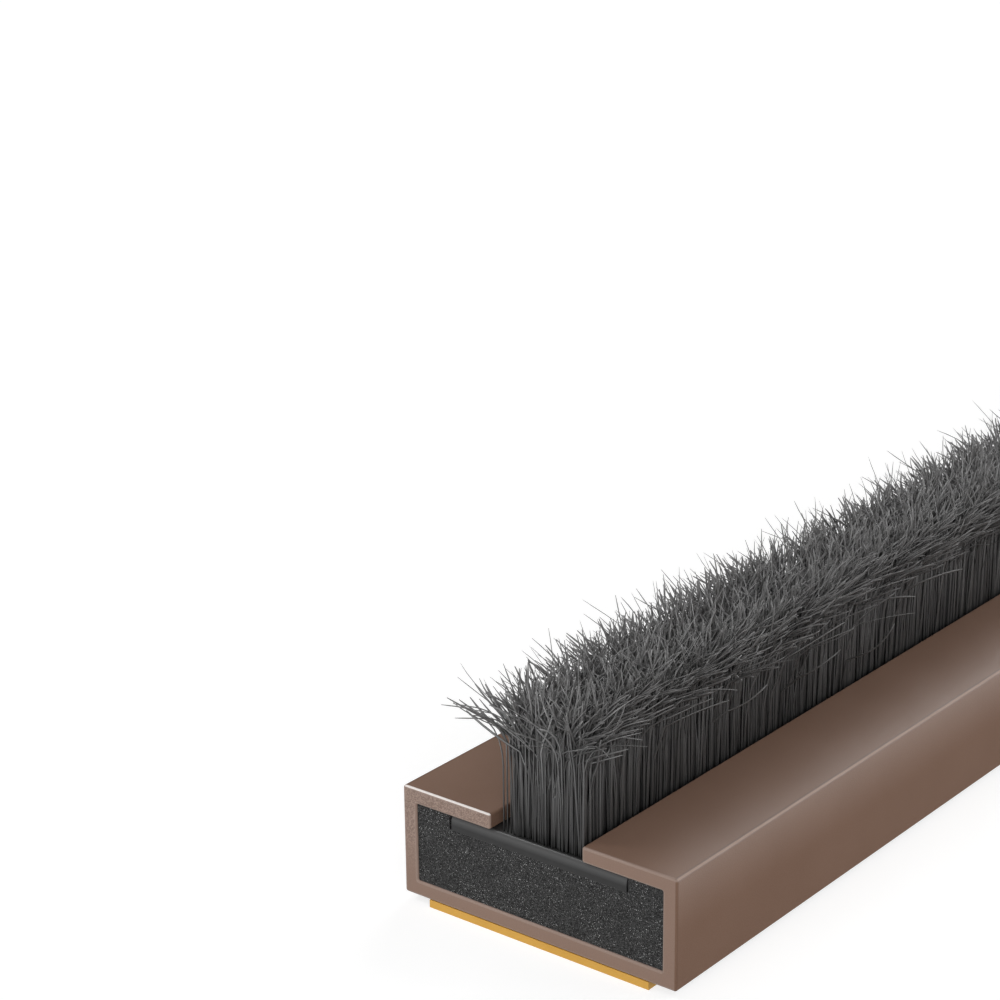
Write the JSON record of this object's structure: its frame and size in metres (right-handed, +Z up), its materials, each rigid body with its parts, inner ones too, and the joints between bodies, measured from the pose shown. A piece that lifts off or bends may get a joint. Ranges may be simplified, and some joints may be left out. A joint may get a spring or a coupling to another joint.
{
  "type": "brush seal strip",
  "caption": "Door seal strip: a slotted brown casing around a black expanding core, a grey pile brush rising from the slot, and an adhesive tape underneath.",
  "frame": {"origin": "middle of the adhesive tape's underside: half way along the strip and half way across the casing", "axes": "+Z up, out of the slot along the bristles; +Y along the strip's length; +X across its width"},
  "size_m": [0.01, 1.0516, 0.008],
  "materials": {
    "casing": "satin brown extruded PVC",
    "core": "matte black graphite compound with fine pale grains",
    "pile_backing": "dark grey, slightly glossy woven and coated polypropylene",
    "brush_pile": "dark grey polypropylene filaments",
    "adhesive_tape": "amber film liner over the adhesive"
  },
  "bodies": {
    "root": {"casing": "casing", "core": "core", "pile_backing": "pile_backing", "brush_pile": "brush_pile", "adhesive_tape": "adhesive_tape"}
  },
  "joints": []
}
